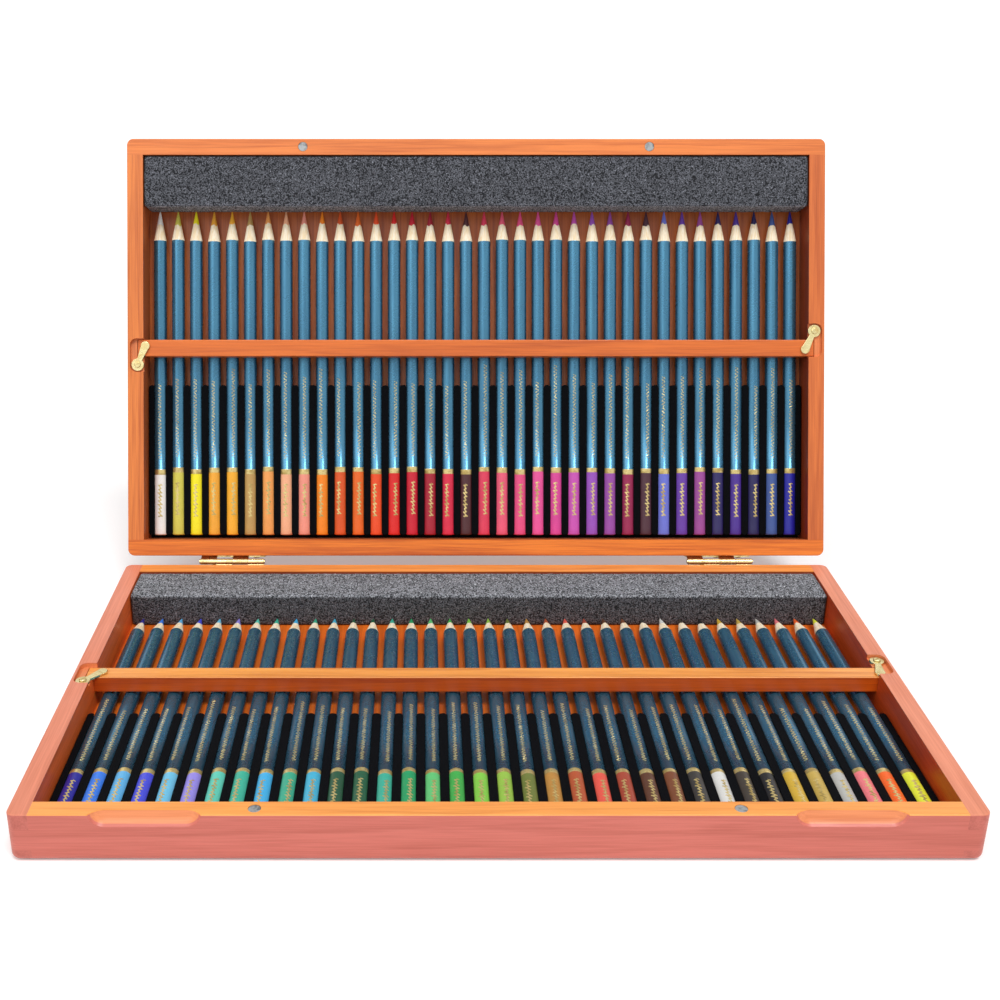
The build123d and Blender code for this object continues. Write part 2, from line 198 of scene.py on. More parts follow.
class Graph:
    """A node tree under construction, with short calls that add a node and join it."""

    def __init__(self, tree: bpy.types.NodeTree) -> None:
        """Works on this tree."""
        self.tree = tree

    def feed(self, socket: Socket, value: object) -> None:
        """Joins a socket to another, or sets its own value."""
        if isinstance(value, Socket):
            self.tree.links.new(value, socket)
        else:
            socket.default_value = value

    def add(self, kind: str, inputs: dict | None = None, **settings: object) -> bpy.types.Node:
        """Adds a node.

        Args:
            kind: The node's type name.
            inputs: Values or sockets for its inputs, by name.
            **settings: Values of the node's own properties.

        Returns:
            The node.
        """
        node = self.tree.nodes.new(kind)
        for name, value in settings.items():
            setattr(node, name, value)
        for name, value in (inputs or {}).items():
            self.feed(node.inputs[name], value)
        return node

    def maths(self, operation: str, *values: object, clamp: bool = False) -> Socket:
        """One Math node of the values given, and its result."""
        node = self.add("ShaderNodeMath", operation=operation, use_clamp=clamp)
        for socket, value in zip(node.inputs, values):
            self.feed(socket, value)
        return node.outputs[0]

    def times(self, value: object, factor: object, more: object = 0.0) -> Socket:
        """value * factor + more."""
        return self.maths("MULTIPLY_ADD", value, factor, more)

    def plus(self, value: object, more: object) -> Socket:
        """value + more."""
        return self.maths("ADD", value, more)

    def minus(self, value: object, less: object) -> Socket:
        """value - less."""
        return self.maths("SUBTRACT", value, less)

    def over(self, value: object, divisor: object) -> Socket:
        """value / divisor."""
        return self.maths("DIVIDE", value, divisor)

    def step(self, value: object, low: float, high: float, out_low: float = 0.0,
             out_high: float = 1.0) -> Socket:
        """A smooth step of a value from one level to another between two bounds."""
        names = ("Value", "From Min", "From Max", "To Min", "To Max")
        inputs = dict(zip(names, (value, low, high, out_low, out_high)))
        return self.add("ShaderNodeMapRange", inputs, interpolation_type="SMOOTHSTEP").outputs["Result"]

    def blend(self, factor: object, first: object, second: object, mode: str = "MIX") -> Socket:
        """A mix of two colours."""
        node = self.add("ShaderNodeMix", data_type="RGBA", blend_type=mode)
        for index, value in ((0, factor), (6, first), (7, second)):
            self.feed(node.inputs[index], value)
        return node.outputs[2]

    def noise(self, vector: object, scale: float, detail: float = 2.0, distortion: float = 0.0
              ) -> Socket:
        """A noise value of a place."""
        inputs = {"Vector": vector, "Scale": scale, "Detail": detail, "Distortion": distortion}
        return self.add("ShaderNodeTexNoise", inputs).outputs["Fac"]

    def parts(self, vector: object) -> tuple[Socket, ...]:
        """The X, Y and Z of a vector."""
        return tuple(self.add("ShaderNodeSeparateXYZ", {"Vector": vector}).outputs)

    def joined(self, x: object, y: object, z: object) -> Socket:
        """A vector of three values."""
        return self.add("ShaderNodeCombineXYZ", {"X": x, "Y": y, "Z": z}).outputs[0]

    def swapped(self, place: object) -> Socket:
        """A place with its X and Y exchanged."""
        x, y, z = self.parts(place)
        return self.joined(y, x, z)

    def counted(self, place: object, size: object) -> Socket:
        """A place counted in steps of a size."""
        node = self.add("ShaderNodeVectorMath", operation="DIVIDE")
        self.feed(node.inputs[0], place)
        self.feed(node.inputs[1], self.joined(size, size, size))
        return node.outputs["Vector"]

    def tinted(self, body: object, red: float, green: float, blue: float) -> Socket:
        """A colour times another."""
        return self.blend(1.0, body, (red, green, blue, 1.0), "MULTIPLY")

    def relief(self, height: object, depth_mm: float) -> Socket:
        """The normal of a surface that is raised by a height of 0 to 1 times a depth."""
        bump = self.add("ShaderNodeBump", {"Height": height, "Distance": depth_mm * MM, "Strength": 1.0})
        return bump.outputs["Normal"]


@dataclass(frozen=True)
class Effect:
    """A shader node group that several finishes share, built once under its name."""

    name: str
    inputs: dict
    outputs: tuple

    def build(self, graph: Graph, given: bpy.types.Node) -> tuple:
        """The group's inside: sockets for its outputs, in order. Each effect has its own."""
        raise NotImplementedError

    def tree(self) -> bpy.types.NodeTree:
        """The group's tree, made at its first use."""
        made = bpy.data.node_groups.get(self.name)
        if made:
            return made
        tree = bpy.data.node_groups.new(self.name, "ShaderNodeTree")
        tree.interface.new_socket("Vector", in_out="INPUT", socket_type="NodeSocketVector")
        for name, value in self.inputs.items():
            socket = tree.interface.new_socket(name, in_out="INPUT", socket_type="NodeSocketFloat")
            socket.default_value = value
        for name in self.outputs:
            tree.interface.new_socket(name, in_out="OUTPUT", socket_type="NodeSocketFloat")
        graph = Graph(tree)
        given, result = graph.add("NodeGroupInput"), graph.add("NodeGroupOutput")
        for name, value in zip(self.outputs, self.build(graph, given)):
            graph.feed(result.inputs[name], value)
        return tree

    def use(self, graph: Graph, vector: object, **values: float) -> dict:
        """Places the group in a material.

        Args:
            graph: The material's tree.
            vector: The place that the effect is read at.
            **values: Its inputs, with underscores for spaces.

        Returns:
            Its output sockets by name.
        """
        node = graph.add("ShaderNodeGroup", node_tree=self.tree())
        graph.feed(node.inputs["Vector"], vector)
        for name, value in values.items():
            node.inputs[name.replace("_", " ")].default_value = value
        return {socket.name: socket for socket in node.outputs}


class FibreGrain(Effect):
    """Wood fibres along X: fine streaks, broad tone bands and wandering growth lines."""

    def build(self, graph: Graph, given: bpy.types.Node) -> tuple:
        """Noise of the place, drawn out along X, and the sine of the place across, shifted by that noise."""
        x, y, z = graph.parts(given.outputs["Vector"])
        seed, band = given.outputs["Seed"], given.outputs["Band Width"]
        length = given.outputs["Fibre Length"]

        def drawn_out(long: object, wide: object, shift: float, detail: float) -> Socket:
            across, deep = graph.times(seed, shift, y), graph.times(seed, 3.1, z)
            place = graph.joined(graph.over(x, long), graph.over(across, wide), graph.over(deep, wide))
            return graph.noise(place, 1.0, detail, 0.3)

        fibres = drawn_out(length, given.outputs["Fibre Width"], 7.7, 4.0)
        bands = drawn_out(graph.times(length, 5.0), band, 13.3, 2.0)
        turns = graph.plus(graph.over(graph.times(z, 0.6, y), band), graph.times(bands, 3.0, -1.5))
        wave = graph.maths("SINE", graph.times(turns, 2 * math.pi))
        lines = graph.maths("POWER", graph.times(wave, 0.5, 0.5), 3.0)
        height = graph.times(fibres, 0.7, graph.times(lines, 0.3))
        return graph.step(bands, 0.3, 0.7), graph.step(fibres, 0.28, 0.72), lines, height


class Speckle(Effect):
    """Cells of a foam or a flock: dark pits between them, light glints on some, and their height."""

    def build(self, graph: Graph, given: bpy.types.Node) -> tuple:
        """The distance to the nearest cell, and noise at a cell's size, each stepped."""
        place = graph.counted(given.outputs["Vector"], given.outputs["Cell Size"])
        cells = graph.add("ShaderNodeTexVoronoi", {"Vector": place, "Scale": 1.0}).outputs["Distance"]
        grains = graph.noise(place, 1.3, 3.0)
        pits = graph.step(graph.times(grains, 0.6, cells), 0.72, 1.0)
        glints = graph.step(graph.noise(place, 0.9, 4.0), 0.56, 0.68)
        return pits, glints, graph.times(cells, -0.8, grains)


class HandlingMarks(Effect):
    """What handling leaves on a gloss: soft smudges and thin scratches that cross each other."""

    def build(self, graph: Graph, given: bpy.types.Node) -> tuple:
        """Broad noise for smudges, and the middle values of two drawn out noises for scratches."""
        place, size = given.outputs["Vector"], given.outputs["Mark Size"]
        x, y, z = graph.parts(place)
        smudges = graph.step(graph.noise(graph.counted(place, size), 0.6, 3.0, 0.5), 0.4, 0.7)

        def scratch(first: object, second: object) -> Socket:
            long = graph.over(first, graph.times(size, 6.0))
            value = graph.noise(graph.joined(long, graph.over(second, size), z), 2.0, 2.0)
            return graph.step(graph.maths("ABSOLUTE", graph.minus(value, 0.5)), 0.004, 0.012, 1.0, 0.0)

        tilted = scratch(graph.times(y, 0.7, x), graph.minus(y, x))
        return smudges, graph.maths("MAXIMUM", scratch(x, y), tilted)


FIBRE_GRAIN = FibreGrain(
    "fibre_grain", {"Fibre Length": 40.0, "Fibre Width": 1.0, "Band Width": 9.0, "Seed": 0.0},
    ("Bands", "Fibres", "Lines", "Height"))
SPECKLE = Speckle("speckle", {"Cell Size": 0.8}, ("Pits", "Glints", "Height"))
HANDLING_MARKS = HandlingMarks("handling_marks", {"Mark Size": 6.0}, ("Smudges", "Scratches"))


# ---------------------------------------------------------------- finishes


@dataclass(frozen=True)
class Finish:
    """A surface of the case. Its patterns are read in a tray's own frame, in millimetres."""

    name: str

    def surface(self, graph: Graph, place: Socket) -> dict:
        """The shader's inputs by name, as values or sockets. Each finish has its own."""
        raise NotImplementedError

    def material(self, tray: TrayFrame) -> bpy.types.Material:
        """The material of this finish in a tray, made at its first use.

        Args:
            tray: The tray whose frame the patterns follow.

        Returns:
            The material.
        """
        name = f"{self.name}_{tray.side.value}"
        made = bpy.data.materials.get(name)
        if made:
            return made
        made = bpy.data.materials.new(name)
        made.use_nodes = True
        made.node_tree.nodes.clear()
        graph = Graph(made.node_tree)
        to_tray = tray.matrix().inverted()
        mapping = graph.add("ShaderNodeMapping", {
            "Vector": graph.add("ShaderNodeTexCoord").outputs["Object"],
            "Location": to_tray.translation / MM, "Rotation": to_tray.to_euler(), "Scale": (1 / MM,) * 3})
        shader = graph.add("ShaderNodeBsdfPrincipled", self.surface(graph, mapping.outputs["Vector"]))
        graph.add("ShaderNodeOutputMaterial", {"Surface": shader.outputs["BSDF"]})
        return made


@dataclass(frozen=True)
class StainedWoodAndLight(Finish):
    """Stained wood under satin lacquer, in a tone of its own on each face of a tray's wall, with painted
    light: lighter at the mouth where light falls, painted shade on the faces inside, and a painted reflection
    of the pale floor on the outside.
    """

    sizes: CaseSizes
    # Tones by face, with painted light: a lighter mouth where light falls, a painted floor reflection
    # outside, painted shade on the faces inside.
    mouth: str
    outer_and_reflection: str
    shaded_inner: str
    cut: str
    grain: Grain
    mouth_z: float
    contrast: float
    seed: float
    mouth_depth: float = 0.5
    outer_depth: float = 1.3
    end_depth: float = 0.5
    end_tone: str = "#7d4038"
    fibre_shade: tuple = (0.58, 0.40, 0.30)
    roughness: float = 0.36
    lacquer: float = 0.12

    def faces(self, graph: Graph, place: Socket) -> tuple:
        """Masks of the mouth, the outside, the inside and the end grain, from the place alone."""
        x, y, z = graph.parts(place)
        far_x, far_y = graph.maths("ABSOLUTE", x), graph.maths("ABSOLUTE", y)
        mouth = graph.step(z, self.mouth_z - self.mouth_depth, self.mouth_z - self.mouth_depth / 2)
        out_x, out_y = graph.minus(far_x, self.sizes.outer_x), graph.minus(far_y, self.sizes.outer_y)
        in_x, in_y = graph.minus(far_x, self.sizes.inner_x), graph.minus(far_y, self.sizes.inner_y)
        outermost = graph.maths("MAXIMUM", graph.maths("MAXIMUM", out_x, out_y), graph.times(z, -1.0))
        outside = graph.step(outermost, -self.outer_depth, -self.outer_depth + 0.5)
        inside = graph.step(graph.maths("MAXIMUM", in_x, in_y), 0.05, 0.15, 1.0, 0.0)
        ends = out_x if self.grain is Grain.ALONG_X else out_y
        return mouth, outside, inside, graph.step(ends, -self.end_depth, 0.0)

    def surface(self, graph: Graph, place: Socket) -> dict:
        """Staining with painted light by face, darkened by bands, fibres and growth lines, under lacquer with
        faint smudges.
        """
        along = place if self.grain is Grain.ALONG_X else graph.swapped(place)
        wood = FIBRE_GRAIN.use(graph, along, Fibre_Length=26.0, Fibre_Width=0.75, Band_Width=7.0,
                               Seed=self.seed)
        marks = HANDLING_MARKS.use(graph, place, Mark_Size=14.0)
        mouth, outside, inside, ends = self.faces(graph, place)
        stain_and_light = colour(self.cut)
        # Painted light: the outside tone carries a painted reflection of the pale floor, the inside tone
        # painted shade, and the mouth tone is lighter where light falls.
        for mask, code in ((outside, self.outer_and_reflection), (inside, self.shaded_inner), (mouth, self.mouth)):
            stain_and_light = graph.blend(mask, stain_and_light, colour(code))
        darkness = graph.times(wood["Fibres"], 0.45, graph.times(wood["Bands"], 0.40))
        darkness = graph.times(graph.times(wood["Lines"], 0.30, darkness), 1.6, -0.3)
        darkness = graph.maths("MULTIPLY", darkness, self.contrast, clamp=True)
        wooden = graph.blend(darkness, stain_and_light, graph.tinted(stain_and_light, *self.fibre_shade))
        rough = graph.times(wood["Fibres"], 0.06, graph.times(marks["Smudges"], 0.10, self.roughness))
        return {"Base Color": graph.blend(graph.times(ends, 0.15), wooden, colour(self.end_tone)),
                "Roughness": rough, "Coat Weight": self.lacquer, "Coat Roughness": 0.22,
                "Normal": graph.relief(wood["Height"], 0.04)}


@dataclass(frozen=True)
class PolishedBrass(Finish):
    """Pale plated brass, with smudges and thin scratches in its polish."""

    tone: str = "#e6d8a2"
    handled: str = "#b89a54"
    roughness: float = 0.20

    def surface(self, graph: Graph, place: Socket) -> dict:
        """A metal whose colour warms and whose polish dulls where it is handled."""
        marks = HANDLING_MARKS.use(graph, place, Mark_Size=3.0)
        rough = graph.times(marks["Scratches"], 0.15, graph.times(marks["Smudges"], 0.14, self.roughness))
        tone = graph.blend(graph.times(marks["Smudges"], 0.6), colour(self.tone), colour(self.handled))
        return {"Base Color": tone, "Metallic": 1.0, "Roughness": rough,
                "Normal": graph.relief(graph.times(marks["Scratches"], -1.0), 0.01)}


@dataclass(frozen=True)
class PlatedMagnet(Finish):
    """The grey plated face of a magnet, brushed and a little marked."""

    tone: str = "#a6a9aa"
    worn: str = "#6c7072"
    metal: float = 0.4
    roughness: float = 0.34

    def surface(self, graph: Graph, place: Socket) -> dict:
        """A metal of uneven grey."""
        marks = HANDLING_MARKS.use(graph, place, Mark_Size=1.2)
        return {"Base Color": graph.blend(marks["Smudges"], colour(self.tone), colour(self.worn)),
                "Metallic": self.metal, "Roughness": graph.times(marks["Scratches"], 0.2, self.roughness)}


@dataclass(frozen=True)
class OpenFoam(Finish):
    """Charcoal foam with painted shade in its open cells, painted glints, and a painted highlight along one
    edge of its cut face.
    """

    face_z: float
    edge_y: float
    edge_light: float
    cut: str
    side: str
    cell: float = 0.72
    large_cell: float = 2.1
    roughness: float = 0.95
    sheen: float = 0.15

    def surface(self, graph: Graph, place: Socket) -> dict:
        """Grey speckled at the size of a cell, in one tone on the cut face and another on the sides, lit and
        shaded copies as painted light.
        """
        fine = SPECKLE.use(graph, place, Cell_Size=self.cell)
        coarse = SPECKLE.use(graph, place, Cell_Size=self.large_cell)
        _, y, z = graph.parts(place)
        cut = graph.step(z, self.face_z - 1.6, self.face_z - 0.6)
        body = graph.blend(cut, colour(self.side), colour(self.cut))
        # Painted light: lit and shaded copies of the tone, a painted highlight on the edge and on glints, and
        # painted shade in the pits.
        bright, dark = graph.tinted(body, 2.6, 2.6, 2.6), graph.tinted(body, 0.07, 0.07, 0.07)
        edge = graph.times(graph.step(y, self.edge_y + 0.6, self.edge_y + 1.6, 1.0, 0.0),
                           graph.step(z, self.face_z - 2.2, self.face_z - 1.4))
        for mask, amount, tone in ((edge, self.edge_light, bright), (fine["Glints"], 0.85, bright),
                                   (fine["Pits"], 0.9, dark), (coarse["Pits"], 0.35, dark)):
            body = graph.blend(graph.times(mask, amount), body, tone)
        return {"Base Color": body, "Roughness": self.roughness, "Specular IOR Level": self.sheen,
                "Normal": graph.relief(fine["Height"], 0.25)}


@dataclass(frozen=True)
class FormedPlastic(Finish):
    """Black formed sheet with a matt, faintly mottled face."""

    tone: str = "#040508"
    pale: str = "#0d0f18"
    roughness: float = 0.78
    sheen: float = 0.08

    def surface(self, graph: Graph, place: Socket) -> dict:
        """Near black, with a fine mottle in colour, roughness and height."""
        mottle = SPECKLE.use(graph, place, Cell_Size=0.5)
        tone = graph.blend(graph.times(mottle["Glints"], 0.5), colour(self.tone), colour(self.pale))
        return {"Base Color": tone, "Roughness": graph.times(mottle["Pits"], 0.15, self.roughness),
                "Specular IOR Level": self.sheen,
                "Normal": graph.relief(mottle["Height"], 0.05)}


@dataclass(frozen=True)
class BarrelLacquer(Finish):
    """Teal lacquer with metal flake in it."""

    lustre: str = "#4d85a2"
    deep: str = "#27486c"
    metal: float = 0.72
    roughness: float = 0.26

    def surface(self, graph: Graph, place: Socket) -> dict:
        """Mostly metal, so that the side turned to the light shines and one turned away goes dark."""
        streaks = FIBRE_GRAIN.use(graph, graph.swapped(place), Fibre_Length=30.0, Fibre_Width=1.6,
                                  Band_Width=5.0)
        marks = HANDLING_MARKS.use(graph, place, Mark_Size=5.0)
        rough = graph.times(marks["Scratches"], 0.10, graph.times(marks["Smudges"], 0.04, self.roughness))
        tone = graph.blend(graph.times(streaks["Fibres"], 0.3), colour(self.lustre), colour(self.deep))
        return {"Base Color": tone, "Metallic": self.metal, "Roughness": rough}


@dataclass(frozen=True)
class SharpenedWood(Finish):
    """Pale bare wood, cut by a sharpener."""

    tone: str = "#fff4de"
    fibre: str = "#e8c898"
    line: str = "#f1d9b0"
    roughness: float = 0.75

    def surface(self, graph: Graph, place: Socket) -> dict:
        """Cream with fibres along the pencil, and shallow rings from the blade: sin(9 y)."""
        _, y, _ = graph.parts(place)
        wood = FIBRE_GRAIN.use(graph, graph.swapped(place), Fibre_Length=7.0, Fibre_Width=0.45,
                               Band_Width=2.5)
        tone = graph.blend(graph.times(wood["Fibres"], 0.5), colour(self.tone), colour(self.fibre))
        rings = graph.times(graph.maths("SINE", graph.times(y, 9.0)), 0.4, wood["Height"])
        return {"Base Color": graph.blend(wood["Lines"], tone, colour(self.line)),
                "Roughness": self.roughness, "Normal": graph.relief(rings, 0.03)}


@dataclass(frozen=True)
class PencilShade(Finish):
    """A finish in the pencil's own colour, which its mesh carries as an attribute."""

    roughness: float
    gloss: float = 0.0
    mottle: float = 0.12
    relief_mm: float = 0.02

    def surface(self, graph: Graph, place: Socket) -> dict:
        """The pencil's colour, a little darker in its mottle, with the gloss of lacquer or of wax."""
        shade = graph.add("ShaderNodeAttribute", attribute_name=SHADE).outputs["Color"]
        grains = SPECKLE.use(graph, place, Cell_Size=0.6)
        marks = HANDLING_MARKS.use(graph, place, Mark_Size=4.0)
        share = graph.times(graph.plus(grains["Pits"], marks["Smudges"]), self.mottle)
        return {"Base Color": graph.blend(share, shade, graph.tinted(shade, 0.62, 0.62, 0.62)),
                "Roughness": graph.times(marks["Smudges"], 0.15, self.roughness),
                "Coat Weight": self.gloss, "Coat Roughness": 0.12,
                "Normal": graph.relief(grains["Height"], self.relief_mm)}


@dataclass(frozen=True)
class GoldFoil(Finish):
    """Hot stamped foil, pale gold and rubbed in places."""

    bright: str = "#dcc888"
    rubbed: str = "#ab9455"
    metal: float = 0.75
    roughness: float = 0.3

    def surface(self, graph: Graph, place: Socket) -> dict:
        """A metal between two golds, rougher where it is rubbed."""
        grains = SPECKLE.use(graph, place, Cell_Size=0.7)
        marks = HANDLING_MARKS.use(graph, place, Mark_Size=3.0)
        rubbed = graph.maths("MAXIMUM", marks["Smudges"], grains["Glints"])
        return {"Base Color": graph.blend(rubbed, colour(self.bright), colour(self.rubbed)),
                "Metallic": self.metal, "Roughness": graph.times(rubbed, 0.2, self.roughness)}


# ---------------------------------------------------------------- pencils

# The name and the colour of each pencil, from left to right.
LID_ROW = (
    ("white", "#fbfaf6"), ("olive yellow", "#d8cf55"), ("lemon", "#fdf01c"), ("amber", "#f7ae34"),
    ("yolk", "#fbb42c"), ("khaki", "#c09a58"), ("light orange", "#f8a657"), ("peach", "#f9b68c"),
    ("salmon", "#f69a86"), ("orange", "#fb8a12"), ("rust orange", "#e2581c"), ("deep orange", "#ee6a1a"),
    ("flame", "#f2501c"), ("scarlet", "#e3211f"), ("crimson", "#cf1330"), ("ruby", "#a8132e"),
    ("cherry", "#e0284a"), ("bark", "#47191f"), ("rose red", "#e23c5c"), ("coral pink", "#ef5c7c"),
    ("carnation", "#ec5088"), ("rose pink", "#ee56a0"), ("magenta", "#df479c"), ("orchid", "#cf55ba"),
    ("lilac", "#9c52c2"), ("mauve", "#9a4ba9"), ("wine", "#9a1d50"), ("plum brown", "#482130"),
    ("periwinkle", "#6e78da"), ("violet", "#693ba9"), ("heather", "#9f4a9b"), ("indigo", "#221a5c"),
    ("purple", "#4a2a94"), ("midnight", "#1a1452"), ("slate blue", "#3f5a9c"), ("ultramarine", "#1c1e9c"))

BASE_ROW = (
    ("indigo blue", "#29299c"), ("cobalt", "#3a80ee"), ("sky", "#62b6ea"), ("royal blue", "#474fdc"),
    ("pale sky", "#70c6ea"), ("lavender", "#988ce8"), ("turquoise", "#5fd0ba"), ("sea green", "#3cb59a"),
    ("azure", "#44b4ea"), ("teal", "#39ad8c"), ("cyan blue", "#45b6da"), ("bottle green", "#1c5238"),
    ("fir", "#175a3c"), ("lagoon", "#3cb39a"), ("emerald", "#1f9e62"), ("mint", "#62c878"),
    ("grass", "#3fae4c"), ("lime", "#86d04a"), ("leaf", "#9ac64a"), ("olive", "#6e7a34"),
    ("ochre", "#c08a3e"), ("brick", "#b8552e"), ("coral", "#ea5a4a"), ("russet", "#a8442e"),
    ("umber", "#5a3420"), ("brown", "#7a4426"), ("charcoal", "#33312f"), ("ash", "#e2e2de"),
    ("sepia", "#3a322a"), ("black", "#121214"), ("gold", "#d8b23c"), ("straw", "#c8aa52"),
    ("silver", "#bfc0bc"), ("blush", "#f47f86"), ("neon orange", "#fb6a24"), ("neon yellow", "#e6ee3c"))


class Part(IntEnum):
    """The parts of a pencil's surface, in the order of its material slots."""

    LEAD = 0
    WOOD = 1
    PAINT = 2
    RING = 3
    CAP = 4
    FOIL = 5


@dataclass(frozen=True)
class PencilForm:
    """The shape of a round pencil lying along Y, in millimetres, measured from its point."""

    radius: float
    lead_radius: float
    length: float
    point_radius: float = 0.3
    cone_length: float = 16.2
    paint: float = 0.03
    strokes_end: float = 135.2
    ring_start: float = 140.4
    ring_length: float = 2.9
    ring_lift: float = 0.06
    dip_lift: float = 0.04
    dip_flare: float = 0.10
    line_gap: float = 4.6
    line_length: float = 19.0
    end_round: float = 0.8
    scallops: tuple = (0.35, 0.2)
    columns: int = 36

    def widening(self) -> float:
        """How much wider the cone is at its foot than at its point."""
        return self.radius - self.point_radius

    def slope(self) -> float:
        """How much the cone widens in each millimetre."""
        return self.widening() / self.cone_length


@dataclass(frozen=True)
class Stamp:
    """Foil stamped on a round pencil: small raised shapes, bent round its surface."""

    radius: float
    edge: float = 0.03
    lift: float = 0.07
    sink: float = 0.10
    pitch: float = 0.95
    slant: float = 22.0
    half_length: float = 0.84
    length_change: float = 0.14
    half_width: float = 0.2
    dot: float = 0.3
    waves: float = 9.0
    low_wave: float = 0.55
    tall_wave: float = 0.7
    lean: float = 0.55
    sway: float = 0.3
    line_width: float = 0.32
    steps: int = 120

    def drape(self, across: np.ndarray, along: np.ndarray, height: np.ndarray) -> np.ndarray:
        """Flat points wrapped on the pencil: the turn from its top is the distance across over the radius."""
        turn = across / self.radius
        out = self.radius + height
        return np.stack((out * np.sin(turn), along, out * np.cos(turn)), axis=-1)

    def strokes(self, end: float, count: int) -> tuple[np.ndarray, np.ndarray]:
        """A run of slim slanted bars with a dot after every eighth.

        Each is a low bipyramid. Its corners lie half its length out along its slant, and half its
        width out at a right angle to that, with its peak above and its foot below.

        Args:
            end: Where the run ends.
            count: How many shapes it has.

        Returns:
            Its points and its triangles.
        """
        order = np.arange(count)
        dot = order % 9 == 8
        slant = np.radians(np.where(order % 2 == 0, self.slant, -self.slant)) * ~dot
        half = np.where(dot, self.dot, self.half_length + self.length_change * np.sin(order * 2.4))
        thin = np.where(dot, self.dot, self.half_width)
        centre = end + self.pitch * (order - count)
        none = np.zeros(count)
        edge = none + self.edge
        ahead = np.stack((half * np.cos(slant), half * np.sin(slant)))
        beside = np.stack((-thin * np.sin(slant), thin * np.cos(slant)))
        corners = [(*(ahead * a + beside * b), edge) for a, b in ((1, -1), (1, 1), (-1, 1), (-1, -1))]
        corners += [(none, none, none + self.lift), (none, none, none - self.sink)]
        points = np.stack([self.drape(dx, centre + dy, dz) for dx, dy, dz in corners], axis=1)
        upper = [(i, (i + 1) % 4, 4) for i in range(4)]
        lower = [((i + 1) % 4, i, 5) for i in range(4)]
        faces = np.array(upper + lower)[None] + 6 * order[:, None, None]
        return points.reshape(-1, 3), faces.reshape(-1, 3)

    def flourish(self, start: float, length: float) -> tuple[np.ndarray, np.ndarray]:
        """A waving line of tall and low waves that lean along the pencil.

        The distance across is a sine of the place along, under a height that swells and falls by
        the square of a slower cosine. The place along leans with that distance, and sways by a
        sine of twice the pace. The line is a closed tube of four sides, thin at each end.

        Args:
            start: Where the line starts.
            length: How long it is.

        Returns:
            Its points and its quads.
        """
        share = np.linspace(0.0, 1.0, self.steps)
        phase = 2 * np.pi * self.waves * share
        across = (self.low_wave + self.tall_wave * np.cos(3.3 * np.pi * share) ** 2) * np.sin(phase)
        along = start + length * share + self.lean * across + self.sway * np.sin(2 * phase)
        centre = np.stack((across, along), axis=-1)
        ahead = np.gradient(centre, axis=0)
        ahead /= np.linalg.norm(ahead, axis=1, keepdims=True)
        width = self.line_width * np.clip(np.minimum(share, 1 - share) * 24, 0.12, 1.0)
        beside = np.stack((-ahead[:, 1], ahead[:, 0]), axis=-1) * width[:, None]
        none = np.zeros(self.steps)
        edge = none + self.edge
        rails = [self.drape(*(centre + beside).T, edge), self.drape(*centre.T, none + self.lift),
                 self.drape(*(centre - beside).T, edge), self.drape(*centre.T, none - self.sink)]
        last = 4 * (self.steps - 1)
        ends = np.array(((3, 2, 1, 0), (last, last + 1, last + 2, last + 3)))
        return np.stack(rails, axis=1).reshape(-1, 3), np.concatenate((ring_faces(self.steps, 4), ends))


